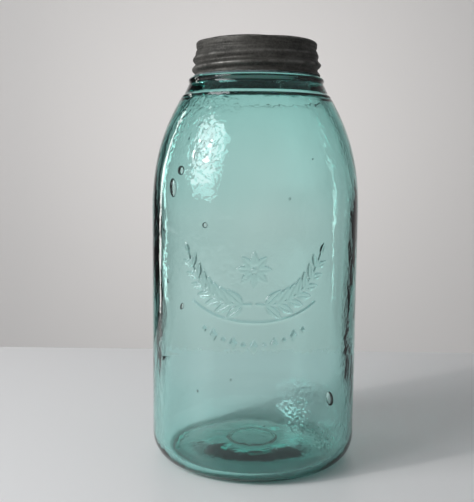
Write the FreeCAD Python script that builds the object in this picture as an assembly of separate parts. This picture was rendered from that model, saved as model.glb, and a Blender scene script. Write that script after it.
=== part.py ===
"""Half-gallon mason jar with a rolled zinc screw cap, a milk-glass liner and a sealing ring.

Millimetres, +Z up, origin on the table under the middle of the base. The four pieces are shown
with the cap screwed home. The thread is right-handed: turned counter-clockwise from above, the
cap climbs one pitch for each turn.
"""

import math
import os

import FreeCAD
import Part

# Glass jar, outside
BODY_R = 59.0
CONTACT_IN_R = 44.5
CONTACT_OUT_R = 47.5
HEEL_H = 14.0
SHOULDER_Z = 140.0
SHOULDER_POWER = 2.45
LEDGE_R = 42.0
LEDGE_Z = 206.4
LEDGE_IN_R = 41.1
LEDGE_RISE = 0.7
LEDGE_BULGE = 0.25
BEAD_MID_R = 36.6
BEAD_Z = 215.3
BEAD_SECTION_R = 1.7
BEAD_UNDERCUT_DEG = -50
NECK_R = 32.9
NECK_FILLET = 0.5
LIP_Z = 232.8
LIP_OUT_ROUND = 1.9
LIP_IN_ROUND = 1.2

# Glass jar, inside
WALL = 3.4
MOUTH_R = 29.6
MOUTH_LAND_Z = 222.0
THROAT = ((34.2, 209.5), (31.0, 215.0))
INNER_SHOULDER_DROP = 3.0
INNER_HEEL_H = 10.4
FLOOR = ((47.5, 4.1), (41.0, 5.3), (33.0, 7.8), (21.0, 10.0), (0.0, 10.5))
PUSH_UP_H = 4.5
PUSH_UP_SLOPE = 0.06
PUSH_UP_BEND = (34.0, 2.9)
BASE_RING_R = 13.0
BASE_RING_Z = 4.25
BASE_RING_SECTION_R = 0.6

# Screw thread, shared by the glass neck and the cap
PITCH = 5.8
THREAD_SECTION_R = 1.5
THREAD_TURNS = 1.45
THREAD_LOW_Z = 220.5
THREAD_SEAT = 0.85
THREAD_END_SINK = 1.6
THREAD_END_SHARE = 0.09
THREAD_POLES = 80
BAR_POLES = 12

# Zinc cap, one sheet of even thickness
SHEET = 0.5
SKIRT_Z = 218.2
SKIRT_R = 35.4
EDGE_TUCK = 0.2
EDGE_RUN = 2.2
BAND_R = 34.05
TAPER_TOP_Z = 233.0
TAPER_H = 8.0
RIB_HEIGHT = 0.95
RIB_EDGE_SHARE = 0.79
RIB_TOP_Z = 231.8
RIB_FADE_H = 7.6
RIB_CREST_Z = 224.2
GROOVE_Z = 232.4
GROOVE_DEPTH = 0.45
GROOVE_HALF_W = 0.9
CORNER_R = 1.4
CAP_TOP_Z = 236.8
CROWN_H = 0.3
CROWN_IN_R = 24.0
CROWN_OUT_R = 29.0
POLES_ROUND = 48
POLES_UP = 40
POLES_CORNER = 6
POLES_CROWN = 8
SEAM_TOLERANCE = 0.001

# Milk-glass liner
LINER_R = 33.2
LINER_LOW_Z = 233.1
LINER_TOP_Z = 236.1
LINER_ROUND = 0.9

# Sealing ring
RING_IN_R = 33.5
RING_OUT_R = 35.6
RING_TOP_Z = 218.0
RING_ROUND = 0.3

AXIS = FreeCAD.Vector(0, 0, 1)
ORIGIN = FreeCAD.Vector(0, 0, 0)


def point(r, z):
    """A profile point: distance from the axis, and height."""
    return FreeCAD.Vector(r, 0, z)


def line(a, b):
    return Part.LineSegment(point(*a), point(*b)).toShape()


def arc(a, middle, b):
    return Part.Arc(point(*a), point(*middle), point(*b)).toShape()


def round_arc(centre, radius, start_deg, end_deg):
    """A round stretch of a profile, between two directions from its centre."""
    spots = []
    for deg in (start_deg, (start_deg + end_deg) / 2, end_deg):
        t = math.radians(deg)
        spots.append((centre[0] + radius * math.cos(t), centre[1] + radius * math.sin(t)))
    return arc(*spots)


def curve(points, start, end):
    """A smooth stretch of a profile, with the directions it leaves and arrives in."""
    spline = Part.BSplineCurve()
    spots = [point(*p) for p in points]
    spline.interpolate(Points=spots, InitialTangent=point(*start), FinalTangent=point(*end))
    return spline.toShape()


def revolved(edges):
    face = Part.Face(Part.Wire(edges))
    return face.revolve(ORIGIN, AXIS, 360)


def smooth_step(t):
    """Rises smoothly from 0 to 1 as t goes from 0 to 1."""
    t = min(max(t, 0.0), 1.0)
    return t * t * (3 - 2 * t)


def quarter_oval(centre, half_w, half_h, start_deg, end_deg, steps=6):
    """Points along an upright oval, from one direction to another."""
    points = []
    for i in range(steps + 1):
        t = math.radians(start_deg + (end_deg - start_deg) * i / steps)
        points.append((centre[0] + half_w * math.cos(t), centre[1] + half_h * math.sin(t)))
    return points


def shoulder(low, high, steps=7):
    """Points of the shoulder, which leaves the upright wall gently and leans in ever faster."""
    points = []
    for i in range(steps + 1):
        u = i / steps
        r = low[0] - (low[0] - high[0]) * u**SHOULDER_POWER
        points.append((r, low[1] + (high[1] - low[1]) * u))
    return points


def shoulder_end_slope(low, high):
    return ((high[0] - low[0]) * SHOULDER_POWER, high[1] - low[1])


def outer_profile():
    """Edges of the glass outside, from the contact ring up to the top of the lip."""
    heel = quarter_oval((CONTACT_OUT_R, HEEL_H), BODY_R - CONTACT_OUT_R, HEEL_H, -90, 0)
    low = (BODY_R, SHOULDER_Z)
    high = (LEDGE_R, LEDGE_Z)
    ledge_top = (LEDGE_IN_R, LEDGE_Z + LEDGE_RISE)
    ledge_mid = (LEDGE_R - LEDGE_BULGE * (LEDGE_R - LEDGE_IN_R), LEDGE_Z + (1 - LEDGE_BULGE) * LEDGE_RISE)
    bead = round_arc((BEAD_MID_R, BEAD_Z), BEAD_SECTION_R, BEAD_UNDERCUT_DEG, 90)
    bead_low = (bead.Vertexes[0].Point.x, bead.Vertexes[0].Point.z)
    bead_top = (BEAD_MID_R, BEAD_Z + BEAD_SECTION_R)
    fillet_centre = (NECK_R + NECK_FILLET, bead_top[1] + NECK_FILLET)
    lip_mid = (NECK_R - LIP_OUT_ROUND, LIP_Z - LIP_OUT_ROUND)
    return [
        line((CONTACT_IN_R, 0), (CONTACT_OUT_R, 0)),
        curve(heel, (1, 0), (0, 1)),
        line((BODY_R, HEEL_H), low),
        curve(shoulder(low, high), (0, 1), shoulder_end_slope(low, high)),
        arc(high, ledge_mid, ledge_top),
        line(ledge_top, bead_low),
        bead,
        line(bead_top, (fillet_centre[0], bead_top[1])),
        round_arc(fillet_centre, NECK_FILLET, -90, -180),
        line((NECK_R, fillet_centre[1]), (NECK_R, LIP_Z - LIP_OUT_ROUND)),
        round_arc(lip_mid, LIP_OUT_ROUND, 0, 90),
    ]


def inner_profile():
    """Edges of the glass inside, from the top of the lip down to the middle of the floor."""
    lip_mid = (MOUTH_R + LIP_IN_ROUND, LIP_Z - LIP_IN_ROUND)
    low = (BODY_R - WALL, SHOULDER_Z - 1)
    high = (LEDGE_R - WALL, LEDGE_Z - INNER_SHOULDER_DROP)
    rise = shoulder(low, high) + [*THROAT, (MOUTH_R, MOUTH_LAND_Z)]
    heel_mid = (FLOOR[0][0], FLOOR[0][1] + INNER_HEEL_H)
    heel = quarter_oval(heel_mid, low[0] - FLOOR[0][0], INNER_HEEL_H, 0, -90)
    return [
        line((NECK_R - LIP_OUT_ROUND, LIP_Z), (MOUTH_R + LIP_IN_ROUND, LIP_Z)),
        round_arc(lip_mid, LIP_IN_ROUND, 90, 180),
        line((MOUTH_R, lip_mid[1]), (MOUTH_R, MOUTH_LAND_Z)),
        curve(list(reversed(rise)), (0, -1), (0, -1)),
        line(low, (low[0], heel_mid[1])),
        curve(heel, (0, -1), (-1, 0)),
        curve(FLOOR, (-1, 0), (-1, 0)),
    ]


def push_up_profile():
    """Edges of the hollow underside, from its middle out to the contact ring."""
    ring_in = (BASE_RING_R - BASE_RING_SECTION_R, BASE_RING_Z)
    ring_low = (BASE_RING_R, BASE_RING_Z - BASE_RING_SECTION_R)
    ring_out = (BASE_RING_R + BASE_RING_SECTION_R, BASE_RING_Z)
    slope = (1, -PUSH_UP_SLOPE)
    return [
        line(FLOOR[-1], (0, PUSH_UP_H)),
        curve([(0, PUSH_UP_H), ring_in], (1, 0), slope),
        arc(ring_in, ring_low, ring_out),
        curve([ring_out, PUSH_UP_BEND, (CONTACT_IN_R, 0)], slope, (1, -1)),
    ]


def spline_swell(step):
    """How far out a pole goes for its spline to reach a circle, with poles this angle apart."""
    return 3 / (2 + math.cos(step))


def wrapped_surface(columns):
    """A smooth surface through a net of poles that closes on itself from the last column to the first."""
    around = len(columns)
    inner_knots = len(columns[0]) - 4
    surface = Part.BSplineSurface()
    surface.buildFromPolesMultsKnots(
        columns,
        [1] * (around + 1),
        [4] + [1] * inner_knots + [4],
        list(range(around + 1)),
        list(range(inner_knots + 2)),
        True,
        False,
        3,
        3,
    )
    return surface.toShape()


def closed_solid(faces):
    solid = Part.makeSolid(Part.makeShell(faces))
    solid.fix(SEAM_TOLERANCE, SEAM_TOLERANCE, SEAM_TOLERANCE)
    return solid


def flat_ends(skin):
    """Flat faces that close the two open ends of a wrapped surface."""
    faces = []
    for edge in skin.Edges:
        if edge.isClosed():
            faces.append(Part.Face(Part.Wire([edge])))
    return faces


def glass_thread():
    """The raised thread, a round bar wound on the neck and half sunk, whose ends dive into the glass.

    It lies a little under the crests of the cap's ribs, where the tightened cap pulls against it.
    """
    start = 2 * math.pi * (THREAD_LOW_Z + THREAD_SEAT - RIB_CREST_Z) / PITCH
    turn = 2 * math.pi * THREAD_TURNS
    wind_swell = spline_swell(turn / (THREAD_POLES - 1))
    bar_swell = spline_swell(2 * math.pi / BAR_POLES)
    columns = []
    for i in range(BAR_POLES):
        side = 2 * math.pi * i / BAR_POLES
        column = []
        for j in range(THREAD_POLES):
            t = j / (THREAD_POLES - 1)
            sunk = THREAD_END_SINK * (1 - smooth_step(min(t, 1 - t) / THREAD_END_SHARE))
            r = (NECK_R - sunk) * wind_swell + THREAD_SECTION_R * bar_swell * math.cos(side)
            z = THREAD_LOW_Z + PITCH * THREAD_TURNS * t + THREAD_SECTION_R * bar_swell * math.sin(side)
            angle = start + turn * t
            column.append(FreeCAD.Vector(r * math.cos(angle), r * math.sin(angle), z))
        columns.append(column)
    skin = wrapped_surface(columns)
    return closed_solid([skin, *flat_ends(skin)])


def jar_body():
    """One piece of moulded glass."""
    glass = revolved(outer_profile() + inner_profile() + push_up_profile())
    return glass.fuse(glass_thread()).removeSplitter()


def rib_height(z):
    """Height of the cap's screw ribs above and below the mean skirt: they die out upwards."""
    edge = RIB_EDGE_SHARE + (1 - RIB_EDGE_SHARE) * smooth_step((z - SKIRT_Z) / EDGE_RUN)
    return RIB_HEIGHT * edge * smooth_step((RIB_TOP_Z - z) / RIB_FADE_H)


def skirt_mean_radius(z):
    """Mean outside radius of the cap's skirt: wider below, with a groove that keeps the liner in."""
    taper = (SKIRT_R - BAND_R) * smooth_step((TAPER_TOP_Z - z) / TAPER_H)
    tuck = EDGE_TUCK * (1 - smooth_step((z - SKIRT_Z) / EDGE_RUN))
    groove = GROOVE_DEPTH * math.exp(-(((z - GROOVE_Z) / GROOVE_HALF_W) ** 2))
    return BAND_R + taper - tuck - groove


def cap_sheet_points(angle, sheet):
    """(radius, height) along one side of the sheet, from the skirt's edge up and over the top."""
    points = []
    straight_top = CAP_TOP_Z - CORNER_R
    for i in range(POLES_UP):
        z = SKIRT_Z + (straight_top - SKIRT_Z) * i / (POLES_UP - 1)
        turn = 2 * math.pi * (z - RIB_CREST_Z) / PITCH - angle
        points.append((skirt_mean_radius(z) + rib_height(z) * math.cos(turn) - sheet, z))
    for i in range(1, POLES_CORNER + 1):
        t = math.pi / 2 * i / POLES_CORNER
        round_r = CORNER_R - sheet
        points.append((BAND_R - CORNER_R + round_r * math.cos(t), straight_top + round_r * math.sin(t)))
    for i in range(1, POLES_CROWN + 1):
        r = BAND_R - CORNER_R + (CROWN_IN_R - BAND_R + CORNER_R) * i / POLES_CROWN
        lift = CROWN_H * smooth_step((CROWN_OUT_R - r) / (CROWN_OUT_R - CROWN_IN_R))
        points.append((r, CAP_TOP_Z + lift - sheet))
    return points


def cap_skin(sheet):
    """One side of the cap's sheet as a smooth surface, closed round the axis."""
    swell = spline_swell(2 * math.pi / POLES_ROUND)
    columns = []
    for i in range(POLES_ROUND):
        angle = 2 * math.pi * i / POLES_ROUND
        column = []
        for r, z in cap_sheet_points(angle, sheet):
            column.append(FreeCAD.Vector(r * swell * math.cos(angle), r * swell * math.sin(angle), z))
        columns.append(column)
    return wrapped_surface(columns)


def rim_at(skin, z):
    """The closed edge of a skin that lies at one height."""
    for edge in skin.Edges:
        if edge.isClosed() and abs(edge.BoundBox.ZMin - z) < 0.01 and edge.BoundBox.ZLength < 0.01:
            return Part.Wire([edge])
    raise ValueError("the skin has no rim at that height")


def zinc_cap():
    """The cap: two skins one sheet apart, joined round the skirt's edge, each closed by its top."""
    outside = cap_skin(0)
    inside = cap_skin(SHEET)
    top = CAP_TOP_Z + CROWN_H
    edge = Part.Face([rim_at(outside, SKIRT_Z), rim_at(inside, SKIRT_Z)])
    outer_top = Part.Face(rim_at(outside, top))
    inner_top = Part.Face(rim_at(inside, top - SHEET))
    return closed_solid([outside, inside, edge, outer_top, inner_top])


def opal_liner():
    """The milk-glass disc inside the cap's top, rounder at its lower edge."""
    low_mid = (LINER_R - LINER_ROUND, LINER_LOW_Z + LINER_ROUND)
    top_mid = (LINER_R - LINER_ROUND / 2, LINER_TOP_Z - LINER_ROUND / 2)
    return revolved(
        [
            line((0, LINER_TOP_Z), (0, LINER_LOW_Z)),
            line((0, LINER_LOW_Z), (low_mid[0], LINER_LOW_Z)),
            round_arc(low_mid, LINER_ROUND, -90, 0),
            line((LINER_R, low_mid[1]), (LINER_R, top_mid[1])),
            round_arc(top_mid, LINER_ROUND / 2, 0, 90),
            line((top_mid[0], LINER_TOP_Z), (0, LINER_TOP_Z)),
        ]
    )


def rubber_ring():
    """The flat sealing ring that lies on the glass bead."""
    low = BEAD_Z + BEAD_SECTION_R
    out_mid = RING_OUT_R - RING_ROUND
    return revolved(
        [
            line((RING_IN_R, low), (out_mid, low)),
            round_arc((out_mid, low + RING_ROUND), RING_ROUND, -90, 0),
            line((RING_OUT_R, low + RING_ROUND), (RING_OUT_R, RING_TOP_Z - RING_ROUND)),
            round_arc((out_mid, RING_TOP_Z - RING_ROUND), RING_ROUND, 0, 90),
            line((out_mid, RING_TOP_Z), (RING_IN_R, RING_TOP_Z)),
            line((RING_IN_R, RING_TOP_Z), (RING_IN_R, low)),
        ]
    )


PIECES = {
    "jar_body": jar_body,
    "zinc_cap": zinc_cap,
    "opal_liner": opal_liner,
    "rubber_ring": rubber_ring,
}


def main():
    os.makedirs("parts", exist_ok=True)
    for name, make in PIECES.items():
        shape = make()
        shape.exportStep(os.path.join("parts", name + ".step"))
        litres = shape.Volume / 1e6
        print(f"{name}: {len(shape.Solids)} solid, {litres:.4f} l, valid {shape.isValid()}")


if __name__ == "__main__":
    main()
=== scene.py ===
"""Looks of a half-gallon aqua mason jar with a zinc screw cap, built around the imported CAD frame.

Profiles and formulas are in millimetres and match the CAD; meshes are made in metres, +Z up, with the
front of the jar, which carries its raised ornament, towards -Y.
"""

import math

import bpy
import numpy as np
from mathutils import Matrix, Vector


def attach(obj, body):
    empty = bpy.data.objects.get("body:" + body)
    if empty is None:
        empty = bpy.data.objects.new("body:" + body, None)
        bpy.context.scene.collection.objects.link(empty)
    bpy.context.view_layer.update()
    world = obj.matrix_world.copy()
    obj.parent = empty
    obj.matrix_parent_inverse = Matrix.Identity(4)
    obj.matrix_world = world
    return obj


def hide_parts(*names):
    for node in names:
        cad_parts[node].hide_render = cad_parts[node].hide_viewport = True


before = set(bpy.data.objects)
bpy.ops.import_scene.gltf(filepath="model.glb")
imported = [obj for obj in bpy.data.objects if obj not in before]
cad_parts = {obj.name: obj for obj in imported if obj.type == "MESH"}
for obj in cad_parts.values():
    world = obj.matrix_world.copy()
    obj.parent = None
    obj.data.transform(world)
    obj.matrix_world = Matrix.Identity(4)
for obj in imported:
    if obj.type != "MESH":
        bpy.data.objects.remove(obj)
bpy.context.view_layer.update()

MM = 0.001
TURN = 2 * math.pi
FRONT = -math.pi / 2

# Glass, outside, as in the CAD
BODY_R = 59.0
HEEL_MID = (47.5, 14.0)
CONTACT_R = (45.4, 47.2)
SHOULDER = ((59.0, 140.0), (42.0, 206.4))
SHOULDER_POWER = 2.45
LEDGE = ((42.0, 206.4), (42.05, 206.62), (41.78, 206.93), (41.1, 207.1))
BEAD_MID = (36.6, 215.3)
BEAD_R = 1.7
NECK_R = 32.9
LIP_Z = 232.8

# Glass, inside
INNER_R = 55.6
INNER_SHOULDER = ((55.6, 139.0), (38.6, 203.4))
THROAT = ((35.9, 207.0), (33.9, 210.0), (31.9, 213.0), (30.6, 216.5), (29.9, 219.5), (29.6, 222.0))
MOUTH_R = 29.6
INNER_HEEL = ((47.5, 14.5), (8.1, 10.4))
FLOOR_EDGE = (47.5, 4.1)
FLOOR_TOP_Z = 10.5

# Screw thread and cap
PITCH = 5.8
THREAD_R = 1.5
THREAD_TURNS = 1.45
THREAD_LOW_Z = 220.5
THREAD_SEAT = 0.85
RIB_CREST_Z = 224.2
SHEET = 0.5
SKIRT_Z = 218.2
CAP_TOP_Z = 236.8
CORNER_R = 1.4
BAND_R = 34.05
LINER_ROOM = 0.12


def smooth(t):
    """Rises smoothly from 0 to 1 as t goes from 0 to 1."""
    t = np.clip(t, 0.0, 1.0)
    return t * t * (3 - 2 * t)


def hump(t):
    """1 in the middle, falling smoothly to 0 where t is -1 and 1."""
    return 1 - smooth(np.abs(t))


def along(points, step):
    """More points along straight runs between points, about one step apart."""
    out = [points[0]]
    for a, b in zip(points, points[1:]):
        n = max(1, round(math.dist(a, b) / step))
        out += [(a[0] + (b[0] - a[0]) * i / n, a[1] + (b[1] - a[1]) * i / n) for i in range(1, n + 1)]
    return out


def oval(mid, half, start, end, n):
    """Points along an upright oval, between two directions in degrees."""
    ts = np.radians(np.linspace(start, end, n))
    return [(mid[0] + half[0] * math.cos(t), mid[1] + half[1] * math.sin(t)) for t in ts]


def shoulder(low, high, n):
    """Points of the shoulder, from just above low up to high."""
    us = np.linspace(0, 1, n + 1)[1:]
    return [(low[0] - (low[0] - high[0]) * u**SHOULDER_POWER, low[1] + (high[1] - low[1]) * u) for u in us]


class Shape:
    """A mesh made ring by ring, in millimetres."""

    def __init__(self):
        self.points = []
        self.faces = []
        self.count = 0

    def add(self, points):
        first = self.count
        self.points.append(points)
        self.count += len(points)
        return first

    def grid(self, rings, flip=False):
        """Rings of equally many points, each closed on itself. Gives the first and last ring's numbers."""
        n = len(rings[0])
        starts = [self.add(r) for r in rings]
        for a, b in zip(starts, starts[1:]):
            for i in range(n):
                j = (i + 1) % n
                quad = (a + i, a + j, b + j, b + i)
                self.faces.append(quad[::-1] if flip else quad)
        return starts[0], starts[-1]

    def stitch(self, low, low_angles, high, high_angles, flip=False):
        """Triangles between two rings with their own numbers of columns."""
        i = j = 0
        n, m = len(low_angles), len(high_angles)
        while i < n or j < m:
            next_i = low_angles[(i + 1) % n] + TURN * ((i + 1) // n)
            next_j = high_angles[(j + 1) % m] + TURN * ((j + 1) // m)
            if j >= m or (i < n and next_i <= next_j):
                tri = (low + i % n, low + (i + 1) % n, high + j % m)
                i += 1
            else:
                tri = (low + i % n, high + (j + 1) % m, high + j % m)
                j += 1
            self.faces.append(tri[::-1] if flip else tri)

    def close(self, start, n, middle, flip=False):
        """A fan from a ring to one point."""
        centre = self.add(np.array([middle], float))
        for i in range(n):
            tri = (start + i, start + (i + 1) % n, centre)
            self.faces.append(tri[::-1] if flip else tri)

    def build(self, name, attributes=None):
        mesh = bpy.data.meshes.new(name)
        mesh.from_pydata((np.concatenate(self.points) * MM).tolist(), [], self.faces)
        mesh.validate()
        mesh.polygons.foreach_set("use_smooth", [True] * len(mesh.polygons))
        for key, values in (attributes or {}).items():
            layer = mesh.attributes.new(key, "FLOAT", "POINT")
            layer.data.foreach_set("value", np.asarray(values, np.float32))
        mesh.update()
        obj = bpy.data.objects.new(name, mesh)
        bpy.context.scene.collection.objects.link(obj)
        return obj


def ring_points(r, z, angles):
    """Points round the axis, at a radius and height that may each be one number or one for each angle."""
    r, z = np.broadcast_arrays(np.asarray(r, float) + 0 * angles, np.asarray(z, float) + 0 * angles)
    return np.stack([r * np.cos(angles), r * np.sin(angles), z], 1)


class Ripples:
    """A fixed sum of soft waves round and up the jar, as blown glass has."""

    def __init__(self, seed, modes, round_waves, tall_waves, fade):
        rng = np.random.default_rng(seed)
        self.k = rng.integers(round_waves[0], round_waves[1] + 1, modes)
        self.m = TURN / rng.uniform(tall_waves[0], tall_waves[1], modes) * rng.choice((-1, 1), modes)
        self.phase = rng.uniform(0, TURN, modes)
        self.size = rng.uniform(0.5, 1.0, modes) / (1 + self.k) ** fade
        self.size /= self.size.sum()

    def at(self, angles, z):
        """Between -1 and 1 at each angle and height."""
        waves = np.cos(np.outer(angles, self.k) + self.m * z + self.phase)
        return waves @ self.size


# ---------------------------------------------------------------- jar glass

# How far the waves go in and out, and how far the mould seams stand out
OUTER_WAVE = 0.16
FINE_WAVE = 0.035
UNDER_WAVE = 0.12
INNER_WAVE = 0.4
INNER_FINE_WAVE = 0.05
SEAM_H = 0.12

# The ornament: an upper pair of leafy sprigs round a rosette, and an arc of diamonds below
RELIEF = 0.9
EDGE = 0.6
LINE_W = 1.2
ORNAMENT_X = 44.0
ORNAMENT_Z = (67.5, 132.0)
STEM = ((1.5, 98.0), (27.0, 95.5), (37.5, 123.0))
LEAF_SIZE = (11.5, 4.6)
LEAF_SPREAD = 0.72
TIP_LEAF_SIZE = (6.5, 2.8)
ROSETTE_Z = 116.0
PETAL_SIZE = (8.0, 4.2)
ARC = ((0.0, 88.5), (20.0, 88.5), (34.0, 98.0))
DIAMOND_GAP = 5.4


def stroke(x, z, spine, width):
    """A raised round line along a curve of points."""
    d = np.full(x.shape, 1e9)
    for a, b in zip(spine, spine[1:]):
        along_x, along_z = b[0] - a[0], b[1] - a[1]
        t = ((x - a[0]) * along_x + (z - a[1]) * along_z) / (along_x**2 + along_z**2)
        t = np.clip(t, 0, 1)
        d = np.minimum(d, np.hypot(x - a[0] - t * along_x, z - a[1] - t * along_z))
    return smooth((width / 2 - d) / EDGE + 0.5)


def leaf(x, z, base, tilt, length, width):
    """A pointed leaf from its base point, with a sunk midrib."""
    c, s = math.cos(tilt), math.sin(tilt)
    u = ((x - base[0]) * c + (z - base[1]) * s) / length
    v = -(x - base[0]) * s + (z - base[1]) * c
    inside = np.where((u > 0) & (u < 1), 1.0, 0.0)
    half = width / 2 * np.sin(np.pi * np.clip(u, 0, 1) ** 0.8)
    body = smooth((half - np.abs(v)) / EDGE + 0.35) * inside
    return body * (1 - 0.55 * hump(v / 0.55) * smooth(u / 0.1) * smooth((0.9 - u) / 0.1))


def bezier(a, b, c, n):
    """Points along a curve that leaves a towards b and arrives at c."""
    ts = np.linspace(0, 1, n)
    return [
        (
            (1 - t) ** 2 * a[0] + 2 * t * (1 - t) * b[0] + t * t * c[0],
            (1 - t) ** 2 * a[1] + 2 * t * (1 - t) * b[1] + t * t * c[1],
        )
        for t in ts
    ]


def ornament(x, z):
    """Height of the ornament, from 0 to 1, at a distance round the jar from its front and a height."""
    x = np.abs(x)
    h = np.zeros(x.shape)
    stem = bezier(*STEM, 24)
    h = np.maximum(h, 0.8 * stroke(x, z, stem, LINE_W))
    for i in range(7):
        at = 2 + 3 * i
        a, b = stem[at], stem[at + 1]
        way = math.atan2(b[1] - a[1], b[0] - a[0])
        size = 1 - 0.055 * i
        for side in (1, -1):
            tilt = way + side * LEAF_SPREAD
            h = np.maximum(h, leaf(x, z, a, tilt, LEAF_SIZE[0] * size, LEAF_SIZE[1] * size))
    a, b = stem[-2], stem[-1]
    h = np.maximum(h, leaf(x, z, b, math.atan2(b[1] - a[1], b[0] - a[0]), *TIP_LEAF_SIZE))
    for i in range(5):
        tilt = math.pi / 2 - math.pi * i / 4
        base = (1.6 * math.cos(tilt), ROSETTE_Z + 1.6 * math.sin(tilt))
        h = np.maximum(h, leaf(x, z, base, tilt, *PETAL_SIZE))
    h = np.maximum(h, smooth((1.3 - np.hypot(x, z - ROSETTE_Z)) / EDGE + 0.5))
    h = np.maximum(h, 0.8 * stroke(x, z, bezier(*ARC, 16), LINE_W))
    for i in range(6):
        cx = DIAMOND_GAP * i
        cz = 76.0 + 8.5 * (cx / 28.0) ** 2
        tall = 3.4 if i % 2 == 0 else 1.7
        wide = 2.0 if i % 2 == 0 else 1.2
        d = (1 - np.abs(x - cx) / wide - np.abs(z - cz) / tall) * wide * 0.8
        h = np.maximum(h, smooth(d / EDGE + 0.35))
    return h


def outer_columns(front_deg, front_n, back_n):
    """Angles of the glass columns: close together across the front and at the seams, wider elsewhere."""
    front = math.radians(front_deg)
    near = np.linspace(FRONT - front, FRONT + front, front_n)
    far = np.linspace(FRONT + front, FRONT - front + TURN, back_n)[1:-1]
    seams = [s * TURN / 2 + d / BODY_R for s in (0, 1) for d in (-1.0, -0.5, 0.0, 0.5, 1.0)]
    far = np.array([a for a in far if min(abs(a - s) for s in seams) > 0.025])
    return np.sort(np.concatenate([near, far, seams]))


def outer_rings():
    """(r, z) of the glass outside, from the contact ring up to the top of the lip."""
    pts = [(CONTACT_R[0], 0.0), (46.3, 0.0), (CONTACT_R[1], 0.0)]
    pts += oval(HEEL_MID, (BODY_R - HEEL_MID[0], HEEL_MID[1]), -88, 0, 15)
    pts += [(BODY_R, z) for z in np.arange(17, 66, 3.1)]
    pts += [(BODY_R, z) for z in np.arange(ORNAMENT_Z[0], ORNAMENT_Z[1], 0.41)]
    pts += [(BODY_R, z) for z in (134.5, 137.3, 140.0)]
    pts += shoulder(*SHOULDER, 34)[:-1] + list(LEDGE)
    bead = oval(BEAD_MID, (BEAD_R, BEAD_R), -50, 90, 10)
    pts += along([LEDGE[-1], bead[0]], 1.4)[1:-1] + bead
    pts += [(35.6, 217.0), (34.5, 217.0)] + oval((33.4, 217.5), (0.5, 0.5), -90, -180, 4)
    pts += [(NECK_R, z) for z in np.arange(217.95, 230.8, 0.44)]
    pts += oval((31.0, 230.9), (1.9, 1.9), 0, 90, 6)
    return pts


def inner_rings():
    """(r, z) of the glass inside, from the top of the lip down to near the middle of the floor."""
    pts = oval((30.8, 231.6), (1.2, 1.2), 75, 180, 5) + [(MOUTH_R, z) for z in (229.5, 227.0, 224.5)]
    pts += list(reversed(THROAT)) + list(reversed(shoulder(*INNER_SHOULDER, 32)))
    pts += [(INNER_R, z) for z in np.linspace(139, INNER_HEEL[0][1], 42)]
    pts += oval(*INNER_HEEL, 0, -90, 13)[1:]
    for r in np.linspace(45.6, 2.4, 19):
        drop = smooth((r / FLOOR_EDGE[0]) ** 2.2) * (FLOOR_TOP_Z - FLOOR_EDGE[1])
        pts.append((r, FLOOR_TOP_Z - drop))
    return pts


def underside_rings():
    """(r, z) of the hollow underside, from near its middle out to the contact ring."""
    pts = [(r, 4.5 - 0.24 * (r / 12.4) ** 2) for r in (2.0, 4.5, 7.0, 9.5, 11.6)]
    pts += oval((13.0, 4.25), (0.6, 0.6), 180, 360, 7)
    pts += [(15.5, 4.15), (18.5, 4.02), (21.5, 3.88), (24.5, 3.72), (27.5, 3.53), (30.5, 3.28), (33.0, 3.0)]
    pts += [(35.5, 2.66), (37.8, 2.24), (39.8, 1.77), (41.5, 1.27), (42.9, 0.79), (43.9, 0.38), (44.6, 0.1)]
    return pts


def thread_height(angles, z):
    """How far the raised screw thread stands out of the neck."""
    start = TURN * (THREAD_LOW_Z + THREAD_SEAT - RIB_CREST_Z) / PITCH
    out = np.zeros(len(angles))
    for lap in range(-1, 4):
        turn = (angles - start) % TURN + TURN * lap
        t = turn / (TURN * THREAD_TURNS)
        ends = smooth(np.minimum(t, 1 - t) / 0.09)
        dz = z - (THREAD_LOW_Z + PITCH * turn / TURN)
        out = np.maximum(out, THREAD_R * ends * np.sqrt(np.clip(1 - (dz / 1.75) ** 2, 0, 1)) ** 1.3)
    return out


def outer_radius_drop(angles, z):
    """How far the glass lies inside its CAD outline: soft waves, room for the ornament, and mould seams."""
    front = (angles - FRONT + math.pi) % TURN - math.pi
    x = front * BODY_R
    room = smooth((80 - np.abs(x)) / 36) * smooth((z - 40) / 22) * smooth((160 - z) / 24)
    calm = smooth((205 - z) / 12) * smooth(z / 10)
    soft = OUTER_WAVE * (1 + OUTER_RIPPLES.at(angles, z)) / 2
    soft = soft + FINE_WAVE * (1 + FINE_RIPPLES.at(angles, z)) / 2
    raised = np.zeros(len(angles))
    near = np.abs(x) < ORNAMENT_X
    if ORNAMENT_Z[0] < z < ORNAMENT_Z[1]:
        raised[near] = ornament(x[near], np.full(near.sum(), z))
    seam = np.minimum(np.abs(np.sin(angles)) * BODY_R, 9.0)
    ridge = np.exp(-((seam / 0.45) ** 2)) * smooth((z - 3) / 4) * smooth((216 - z) / 3)
    return (RELIEF + 0.02) * room * (z > 20) - RELIEF * raised * room + soft * calm + SEAM_H * (1 - ridge)


OUTER_RIPPLES = Ripples(11, 26, (2, 9), (60, 240), 0.6)
FINE_RIPPLES = Ripples(12, 60, (8, 26), (14, 60), 0.2)
INNER_RIPPLES = Ripples(13, 44, (2, 12), (40, 260), 0.5)
INNER_FINE = Ripples(14, 70, (10, 26), (16, 60), 0.2)


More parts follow.
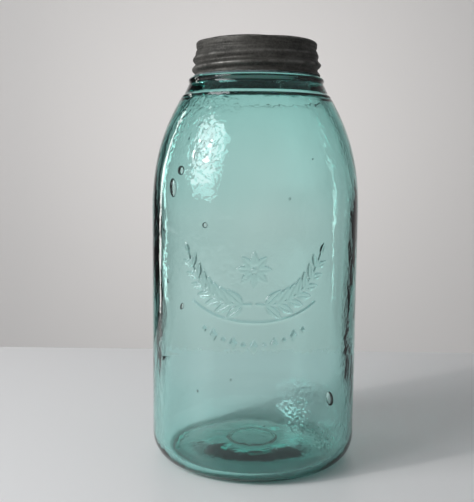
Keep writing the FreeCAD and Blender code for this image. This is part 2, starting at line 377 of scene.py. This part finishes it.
def jar_glass():
    """The jar as one closed mesh: under the base, up the outside and down the inside, with its bubbles."""
    shape = Shape()
    wide = outer_columns(60, 64, 96)
    dense = outer_columns(43, 220, 84)
    under = np.linspace(0, TURN, 120, endpoint=False) + wide[0]
    inside = np.linspace(0, TURN, 180, endpoint=False) + wide[0]
    rings = []
    for r, z in underside_rings():
        wave = UNDER_WAVE * OUTER_RIPPLES.at(under, 9.0 * r) * smooth(r / 10) * smooth((44 - r) / 6)
        rings.append(ring_points(r, z + wave, under))
    under_in, under_out = shape.grid(rings)
    shape.close(under_in, len(under), (0, 0, 4.5), flip=True)
    below, below_angles = under_out, under
    outside = outer_rings()
    for low_z, high_z, angles in (
        (-1.0, ORNAMENT_Z[0], wide),
        (ORNAMENT_Z[0], ORNAMENT_Z[1], dense),
        (ORNAMENT_Z[1], LIP_Z + 1, wide),
    ):
        rings = []
        for r, z in outside:
            if not low_z <= z < high_z:
                continue
            drop = outer_radius_drop(angles, z) if 2 < z < 217 else SEAM_H
            if 217.6 < z < 231:
                drop = drop - thread_height(angles, z)
            rings.append(ring_points(r - drop, z, angles))
        low, high = shape.grid(rings)
        shape.stitch(below, below_angles, low, angles)
        below, below_angles = high, angles
    rings = []
    for r, z in inner_rings():
        calm = smooth((206 - z) / 20) * smooth(r / 20)
        way = z + (BODY_R - r)
        wave = INNER_WAVE * INNER_RIPPLES.at(inside, way) + INNER_FINE_WAVE * INNER_FINE.at(inside, way)
        floor = smooth((16 - z) / 6)
        rings.append(ring_points(r + wave * calm * (1 - floor), z + 1.5 * wave * calm * floor, inside))
    first, last = shape.grid(rings)
    shape.stitch(below, below_angles, first, inside)
    shape.close(last, len(inside), (0, 0, FLOOR_TOP_Z))
    for bubble in BUBBLES:
        add_bubble(shape, *bubble)
    return shape.build("jar_glass", {"crackle": crackle(np.concatenate(shape.points))})


# Patches where the mould left the skin pebbled: x, height, half width, half height, strength
PEBBLED = [
    (-27.0, 176.0, 10.0, 15.0, 1.9),
    (-20.0, 200.0, 16.0, 7.0, 0.7),
    (24.0, 42.0, 9.0, 13.0, 0.9),
    (38.0, 24.0, 8.0, 8.0, 0.9),
    (-8.0, 118.0, 30.0, 22.0, 0.35),
    (20.0, 180.0, 16.0, 16.0, 0.35),
]


def crackle(points):
    """How pebbled the skin is at each point."""
    out = np.full(len(points), 0.06)
    for x, z, half_x, half_z, strength in PEBBLED:
        far = ((points[:, 0] - x) / half_x) ** 2 + ((points[:, 2] - z) / half_z) ** 2
        out += strength * np.exp(-far) * (points[:, 1] < 0)
    return out


# Air bubbles in the wall: x, height, half width, half height, lean in degrees, half depth
BUBBLES = [
    (-39.6, 165.6, 2.4, 2.5, 0, 1.15),
    (-44.2, 156.5, 2.8, 5.0, 8, 0.9),
    (-26.3, 138.0, 1.5, 1.5, 0, 0.6),
    (-47.6, 106.1, 0.8, 1.2, 10, 0.6),
    (-39.2, 94.0, 1.2, 2.0, -28, 0.6),
    (42.1, 44.0, 2.6, 4.4, 24, 0.8),
    (18.0, 152.0, 0.5, 0.7, 0, 0.4),
    (-12.0, 58.0, 0.4, 0.7, 0, 0.35),
    (30.0, 172.0, 0.5, 0.5, 0, 0.4),
    (6.0, 34.0, 0.5, 0.6, 0, 0.4),
    (-30.0, 50.0, 0.5, 0.9, 15, 0.4),
]


def add_bubble(shape, x, z, half_w, half_h, lean, half_d, depth=1.9, n=12):
    """A closed hollow in the wall, its middle at a depth under the outline."""
    low, high = SHOULDER
    u = max(0.0, (z - low[1]) / (high[1] - low[1]))
    r_out = low[0] - (low[0] - high[0]) * u**SHOULDER_POWER
    angle = FRONT + math.asin(x / r_out)
    out = np.array([math.cos(angle), math.sin(angle), 0])
    side = np.array([-math.sin(angle), math.cos(angle), 0])
    up = np.array([0, 0, 1.0])
    c, s = math.cos(math.radians(lean)), math.sin(math.radians(lean))
    wide_way, tall_way = side * c + up * s, up * c - side * s
    middle = out * (r_out - depth) + up * z
    turns = np.linspace(0, TURN, 2 * n, endpoint=False)
    rings = []
    for lat in np.radians(np.linspace(-90, 90, n + 1)[1:-1]):
        spread = math.cos(lat) ** 0.5
        wide = np.outer(np.cos(turns), wide_way * half_w * spread)
        tall = np.outer(np.sin(turns), tall_way * half_h * spread)
        rings.append(middle + out * half_d * math.sin(lat) + wide + tall)
    first, last = shape.grid(rings, flip=True)
    shape.close(first, 2 * n, middle - out * half_d)
    shape.close(last, 2 * n, middle + out * half_d, flip=True)


# ---------------------------------------------------------------- cap

# Dents in the cap: angle in degrees, height, depth and half width
DENTS = [
    (-140, 235.0, 0.45, 9.0),
    (-78, 236.6, 0.5, 6.0),
    (-20, 233.5, 0.3, 7.0),
    (60, 235.5, 0.5, 8.0),
    (130, 227.0, 0.3, 6.0),
    (170, 234.5, 0.35, 7.0),
]


def cap_rib(z):
    """Half the height of the screw ribs, which fade out up the band."""
    edge = 0.79 + 0.21 * smooth((z - SKIRT_Z) / 2.2)
    return 0.95 * edge * smooth((231.8 - z) / 7.6)


def cap_radius(z):
    """Radius midway between crest and hollow, with the tuck at the edge and the groove under the top."""
    taper = 1.35 * smooth((233.0 - z) / 8.0)
    tuck = 0.2 * (1 - smooth((z - SKIRT_Z) / 2.2))
    groove = 0.45 * math.exp(-(((z - 232.4) / 0.9) ** 2))
    return BAND_R + taper - tuck - groove


def cap_dent(angles, z):
    """How far the sheet is pushed in, by dents and by slight waves all over."""
    out = 0.06 * (1 + CAP_RIPPLES.at(angles, z))
    for deg, at_z, depth, half in DENTS:
        far = ((angles - math.radians(deg) + math.pi) % TURN - math.pi) * BAND_R
        out = out + depth * np.exp(-((far / half) ** 2) - ((z - at_z) / (0.45 * half)) ** 2)
    return out


CAP_RIPPLES = Ripples(21, 24, (2, 14), (8, 60), 0.3)


def cap_skin(angles, sheet, step):
    """Rings of one side of the sheet, from the skirt's edge to near the middle of the top, and their wear."""
    rings, wear = [], []
    straight_top = CAP_TOP_Z - CORNER_R
    zs = np.linspace(SKIRT_Z, straight_top, round((straight_top - SKIRT_Z) / step))
    # Dents show less on the inside, and stop short of the liner
    calm, deepest = (1.0, math.inf) if sheet == 0 else (0.5, LINER_ROOM)
    for z in zs:
        turn = TURN * (z - RIB_CREST_Z) / PITCH - angles
        room = smooth((z - 222) / 10) * 0.85 + 0.15
        dent = np.minimum(calm * cap_dent(angles, z), deepest) * room
        rings.append(ring_points(cap_radius(z) + cap_rib(z) * np.cos(turn) - sheet - dent, z, angles))
        crest = np.clip(np.cos(turn), 0, 1) ** 3 * smooth(cap_rib(z) / 0.5)
        edge = 0.9 * smooth((SKIRT_Z + 0.7 - z) / 0.6)
        wear.append(np.maximum(crest, edge))
    round_r = CORNER_R - sheet
    for t in np.radians(np.linspace(0, 90, 8)[1:]):
        r = BAND_R - CORNER_R + round_r * math.cos(t)
        z = straight_top + round_r * math.sin(t)
        drop = np.minimum(calm * cap_dent(angles, z), deepest)
        rings.append(ring_points(r - drop, z - 0.5 * drop * math.sin(t), angles))
        wear.append(np.full(len(angles), 0.9 * math.sin(2 * t) ** 0.5 if t < 1.56 else 0.3))
    for r in np.linspace(BAND_R - CORNER_R - 0.8, 1.2, round(26 / step * 0.5)):
        lift = 0.3 * smooth((29.0 - r) / 5.0)
        sag = 0.12 * (1 + CAP_RIPPLES.at(angles, 3 * r)) * smooth(r / 12)
        sag = sag + 0.5 * calm * cap_dent(angles, CAP_TOP_Z) * smooth((r - 18) / 14)
        rings.append(ring_points(r, CAP_TOP_Z + lift - sheet - np.minimum(sag, deepest), angles))
        wear.append(np.full(len(angles), 0.35 * hump((r - 26.5) / 3)))
    return rings, wear


def cap_metal():
    """The cap as one closed mesh of thin sheet, joined round the skirt's edge."""
    shape = Shape()
    fine = np.linspace(0, TURN, 240, endpoint=False)
    coarse = np.linspace(0, TURN, 120, endpoint=False)
    rings, wear = cap_skin(fine, 0.0, 0.24)
    low, top = shape.grid(rings)
    shape.close(top, len(fine), (0, 0, CAP_TOP_Z + 0.18))
    rings_in, wear_in = cap_skin(coarse, SHEET, 0.4)
    low_in, top_in = shape.grid(rings_in, flip=True)
    shape.close(top_in, len(coarse), (0, 0, CAP_TOP_Z + 0.18 - SHEET), flip=True)
    shape.stitch(low, fine, low_in, coarse, flip=True)
    values = np.concatenate(wear + [[0.0]] + wear_in + [[0.0]])
    return shape.build("cap_metal", {"wear": values})


# ---------------------------------------------------------------- materials


class Nodes:
    """Shorthand for building one material's node tree."""

    def __init__(self, name):
        self.material = bpy.data.materials.new(name)
        self.material.use_nodes = True
        self.tree = self.material.node_tree
        self.tree.nodes.clear()
        self.output = self.tree.nodes.new("ShaderNodeOutputMaterial")
        self.shader = self.tree.nodes.new("ShaderNodeBsdfPrincipled")
        self.link(self.shader.outputs[0], self.output.inputs["Surface"])
        self.coords = self.tree.nodes.new("ShaderNodeTexCoord").outputs["Object"]

    def link(self, a, b):
        self.tree.links.new(a, b)

    def put(self, socket, value):
        """Sets a socket to a plain value, or links it to an output."""
        if isinstance(value, bpy.types.NodeSocket):
            self.link(value, socket)
        else:
            socket.default_value = value

    def stretched(self, x, y, z):
        node = self.tree.nodes.new("ShaderNodeMapping")
        node.inputs["Scale"].default_value = (x, y, z)
        self.link(self.coords, node.inputs["Vector"])
        return node.outputs[0]

    def noise(self, scale, detail=3.0, rough=0.5, twist=0.0, vector=None):
        node = self.tree.nodes.new("ShaderNodeTexNoise")
        self.link(vector or self.coords, node.inputs["Vector"])
        node.inputs["Scale"].default_value = scale
        node.inputs["Detail"].default_value = detail
        node.inputs["Roughness"].default_value = rough
        node.inputs["Distortion"].default_value = twist
        return node.outputs["Fac"]

    def ramp(self, value, low, high, out_low=0.0, out_high=1.0):
        node = self.tree.nodes.new("ShaderNodeMapRange")
        node.interpolation_type = "SMOOTHSTEP"
        self.put(node.inputs["Value"], value)
        node.inputs["From Min"].default_value = low
        node.inputs["From Max"].default_value = high
        node.inputs["To Min"].default_value = out_low
        node.inputs["To Max"].default_value = out_high
        return node.outputs["Result"]

    def maths(self, operation, a, b=0.0):
        node = self.tree.nodes.new("ShaderNodeMath")
        node.operation = operation
        self.put(node.inputs[0], a)
        self.put(node.inputs[1], b)
        return node.outputs[0]

    def mix(self, share, a, b):
        node = self.tree.nodes.new("ShaderNodeMix")
        node.data_type = "RGBA"
        self.put(node.inputs[0], share)
        self.put(node.inputs[6], a)
        self.put(node.inputs[7], b)
        return node.outputs[2]

    def attribute(self, name):
        node = self.tree.nodes.new("ShaderNodeAttribute")
        node.attribute_name = name
        return node.outputs["Fac"]

    def bump(self, height, strength, distance, after=None):
        node = self.tree.nodes.new("ShaderNodeBump")
        node.inputs["Strength"].default_value = strength
        node.inputs["Distance"].default_value = distance
        self.link(height, node.inputs["Height"])
        if after:
            self.link(after, node.inputs["Normal"])
        return node.outputs[0]

    def set(self, **values):
        for key, value in values.items():
            self.put(self.shader.inputs[key.replace("_", " ")], value)
        return self.material


def glass_material():
    """Clear aqua glass: colour comes from its depth, with a faintly whittled skin and a little dust."""
    n = Nodes("aqua_glass_look")
    smear = n.ramp(n.noise(38, 4, 0.6, 1.2), 0.5, 0.78)
    specks = n.ramp(n.noise(900, 2, 0.5), 0.7, 0.8)
    rough = n.maths("MULTIPLY", n.maths("MAXIMUM", smear, specks), 0.02)
    whittle = n.noise(70, 2, 0.45, 0.6, n.stretched(1, 1, 0.5))
    pebbles = n.maths("MULTIPLY", n.noise(280, 0, 0.5, 0.8), n.attribute("crackle"))
    skin = n.bump(whittle, 0.4, 0.0005)
    skin = n.bump(pebbles, 1.0, 0.0004, skin)
    material = n.set(
        Base_Color=(1, 1, 1, 1),
        Transmission_Weight=1.0,
        IOR=1.5,
        Roughness=rough,
        Normal=skin,
    )
    volume = n.tree.nodes.new("ShaderNodeVolumeAbsorption")
    volume.inputs["Color"].default_value = (0.19, 0.82, 0.765, 1)
    volume.inputs["Density"].default_value = 120.0
    n.link(volume.outputs[0], n.output.inputs["Volume"])
    return material


def zinc_material():
    """Old sheet zinc: a dull mottled skin, darker in the hollows and paler where hands have rubbed it."""
    n = Nodes("oxidised_zinc_look")
    patches = n.noise(55, 5, 0.6, 0.6)
    grain = n.noise(900, 4, 0.65)
    rings = n.noise(60, 4, 0.6, 0.2, n.stretched(1, 1, 14))
    tone = n.maths("ADD", n.maths("MULTIPLY", patches, 0.55), n.maths("MULTIPLY", rings, 0.45))
    colour = n.mix(n.ramp(tone, 0.36, 0.64), (0.016, 0.0155, 0.013, 1), (0.066, 0.063, 0.056, 1))
    colour = n.mix(n.ramp(grain, 0.35, 0.7, 0.0, 0.3), colour, (0.15, 0.146, 0.134, 1))
    rubbed = n.maths("MULTIPLY", n.attribute("wear"), n.ramp(n.noise(140, 4, 0.6), 0.35, 0.65))
    colour = n.mix(n.maths("MULTIPLY", rubbed, 0.55), colour, (0.24, 0.235, 0.22, 1))
    bloom = n.ramp(n.noise(95, 6, 0.7, 0.9), 0.62, 0.74, 0.0, 0.4)
    colour = n.mix(bloom, colour, (0.22, 0.225, 0.215, 1))
    rough = n.maths("SUBTRACT", n.ramp(tone, 0.3, 0.7, 0.66, 0.46), n.maths("MULTIPLY", rubbed, 0.14))
    skin = n.bump(rings, 0.25, 0.0003)
    skin = n.bump(grain, 0.3, 0.0002, skin)
    skin = n.bump(bloom, 0.3, 0.0001, skin)
    return n.set(Base_Color=colour, Metallic=0.5, Roughness=rough, Normal=skin)


def opal_material():
    """Milk glass: white, glossy, with faint cloudy swirls and grey scuffs."""
    n = Nodes("opal_glass_look")
    cloud = n.noise(70, 4, 0.55, 1.6)
    colour = n.mix(n.ramp(cloud, 0.3, 0.7), (0.70, 0.74, 0.72, 1), (0.86, 0.87, 0.84, 1))
    scuff = n.ramp(n.noise(260, 5, 0.7, 2.0), 0.62, 0.72)
    colour = n.mix(n.maths("MULTIPLY", scuff, 0.35), colour, (0.42, 0.42, 0.40, 1))
    rough = n.ramp(scuff, 0.0, 1.0, 0.12, 0.4)
    skin = n.bump(n.noise(160, 2, 0.5), 0.2, 0.0003)
    return n.set(
        Base_Color=colour, Roughness=rough, Normal=skin, Subsurface_Weight=0.3, Subsurface_Scale=0.003
    )


def rubber_material():
    """Aged sealing rubber: matt blue-grey, chalky and slightly cracked."""
    n = Nodes("grey_rubber_look")
    chalk = n.noise(300, 5, 0.65)
    colour = n.mix(n.ramp(chalk, 0.35, 0.65), (0.05, 0.07, 0.075, 1), (0.16, 0.20, 0.21, 1))
    cracks = n.noise(1400, 3, 0.6, 1.0)
    rough = n.ramp(chalk, 0.3, 0.7, 0.62, 0.85)
    return n.set(Base_Color=colour, Roughness=rough, Normal=n.bump(cracks, 0.35, 0.0002))


def plain_material(name, colour, rough):
    n = Nodes(name)
    return n.set(Base_Color=(*colour, 1), Roughness=rough)


# ---------------------------------------------------------------- stage


PALE_WALL = (0.80, 0.775, 0.76)
# The middle of the jar, which every light but the wall's own points at
AIM = (0.0, 0.0, 0.12)


def sheet_of(name, points, faces, material):
    """A plain mesh that belongs to the stage."""
    mesh = bpy.data.meshes.new(name)
    mesh.from_pydata(points, [], faces)
    mesh.update()
    mesh.materials.append(material)
    obj = bpy.data.objects.new(name, mesh)
    bpy.context.scene.collection.objects.link(obj)
    return obj


def backdrop_material():
    """Pale paper with painted shade that darkens it past the picture's sides and a little towards the top,
    standing in for a dim room round the set; this gives the glass its darkened outlines.
    """
    n = Nodes("wall_look")
    place = n.tree.nodes.new("ShaderNodeSeparateXYZ")
    n.link(n.coords, place.inputs[0])
    left = n.ramp(place.outputs["X"], -0.47, -0.72)
    right = n.ramp(place.outputs["X"], 0.45, 0.95, 0.0, 0.5)
    above = n.ramp(place.outputs["Z"], 0.48, 0.80, 0.0, 0.25)
    # Painted shade: the paper's colour is darkened at the sides and the top in place of a dim room, not by
    # its own tone
    painted_shade = n.maths("MAXIMUM", left, n.maths("MAXIMUM", right, above))
    colour = n.mix(painted_shade, (*PALE_WALL, 1), (0.06, 0.06, 0.06, 1))
    return n.set(Base_Color=colour, Roughness=0.9)


def area_light(name, place, target, size, power, colour):
    """A soft panel of a size in metres and a power in watts, turned towards a point."""
    light = bpy.data.lights.new(name, "AREA")
    light.shape = "RECTANGLE"
    light.size, light.size_y = size
    light.energy = power
    light.color = colour
    obj = bpy.data.objects.new(name, light)
    obj.visible_camera = False
    bpy.context.scene.collection.objects.link(obj)
    aim = (Vector(target) - Vector(place)).to_track_quat("-Z", "Y")
    obj.matrix_world = Matrix.Translation(place) @ aim.to_matrix().to_4x4()


def slab(name, low, high, material):
    """A plain board with slightly rounded edges."""
    corners = [(x, y, z) for z in (low[2], high[2]) for y in (low[1], high[1]) for x in (low[0], high[0])]
    faces = [(0, 2, 3, 1), (4, 5, 7, 6), (0, 1, 5, 4), (2, 6, 7, 3), (0, 4, 6, 2), (1, 3, 7, 5)]
    obj = sheet_of(name, corners, faces, material)
    bevel = obj.modifiers.new("edge", "BEVEL")
    bevel.width, bevel.segments = 0.004, 3


def stage():
    table_look = plain_material("table_look", (0.78, 0.78, 0.785), 0.4)
    pale = plain_material("front_wall_look", PALE_WALL, 0.9)
    slab("table", (-1.1, -0.9, -0.03), (1.1, 0.25, 0.0), table_look)
    for name, y, look in (("wall", 0.95, backdrop_material()), ("front_wall", -1.4, pale)):
        corners = [(-2.2, y, -1.2), (2.2, y, -1.2), (2.2, y, 1.8), (-2.2, y, 1.8)]
        sheet_of(name, corners, [(0, 1, 2, 3)], look)
    area_light("window", (-0.74, -0.44, 0.56), AIM, (0.5, 0.6), 6.2, (0.97, 0.98, 1.0))
    area_light("lamp", (-0.70, -0.40, 0.52), AIM, (0.045, 0.06), 2.2, (1.0, 0.98, 0.95))
    area_light("rim_left", (-0.72, 0.46, 0.16), AIM, (0.06, 0.9), 0.95, (1.0, 0.98, 0.95))
    area_light("wall_wash", (0.0, 0.45, 0.2), (0.0, 0.95, 0.2), (0.4, 0.4), 0.95, (1.0, 0.98, 0.96))
    world = bpy.data.worlds.new("world")
    bpy.context.scene.world = world
    world.use_nodes = True
    background = world.node_tree.nodes["Background"]
    background.inputs["Color"].default_value = (0.93, 0.97, 1.0, 1)
    background.inputs["Strength"].default_value = 0.32
    bpy.context.scene.view_settings.view_transform = "Standard"
    # Light goes round many times inside the thick heel before it comes out
    bpy.context.scene.cycles.max_bounces = 32
    bpy.context.scene.cycles.transmission_bounces = 32


def camera():
    data = bpy.data.cameras.new("camera")
    data.sensor_width = 36.0
    data.lens = 56.87
    data.clip_start = 0.01
    obj = bpy.data.objects.new("camera", data)
    bpy.context.scene.collection.objects.link(obj)
    turn = Matrix.Rotation(math.radians(1.27), 4, "Z")
    tilt = Matrix.Rotation(math.radians(90 - 6.635), 4, "X")
    roll = Matrix.Rotation(math.radians(0.449), 4, "Z")
    obj.matrix_world = Matrix.Translation((0, -0.457, 0.172)) @ turn @ tilt @ roll
    bpy.context.scene.camera = obj


def dress(obj, body, material, slot, *nodes):
    """Gives a new piece its material and body, and hides the CAD nodes that it stands for. The slot is not
    used.
    """
    obj.data.materials.clear()
    obj.data.materials.append(material)
    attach(obj, body)
    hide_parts(*nodes)


dress(jar_glass(), "jar", glass_material(), "aqua_glass", "jar_body")
dress(cap_metal(), "cap", zinc_material(), "oxidised_zinc", "zinc_cap")
for node, material in (("opal_liner", opal_material()), ("rubber_ring", rubber_material())):
    for material_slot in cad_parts[node].material_slots:
        material_slot.material = material

stage()
camera()
